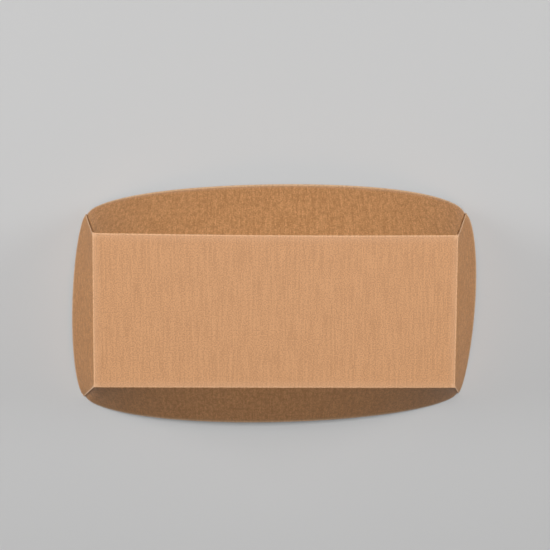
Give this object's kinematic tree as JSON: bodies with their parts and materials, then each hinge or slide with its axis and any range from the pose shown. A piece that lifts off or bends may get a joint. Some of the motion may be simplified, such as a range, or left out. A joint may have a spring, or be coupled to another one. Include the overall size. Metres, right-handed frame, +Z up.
{
  "type": "cardboard tray box",
  "caption": "Open rectangular tray folded from one sheet of plain brown board, with flared walls that bow outwards and glued corners, standing rim down.",
  "frame": {"origin": "on the surface the tray stands on, rim down, under the middle of its base panel", "axes": "+X along the long side, +Y along the short side towards the wall that leans out the most, +Z up out of the base panel's outer face"},
  "size_m": [0.237, 0.1391, 0.0386],
  "materials": {
    "kraft_board": "plain brown kraft board, matte"
  },
  "bodies": {
    "root": {"tray": "kraft_board"}
  },
  "joints": []
}
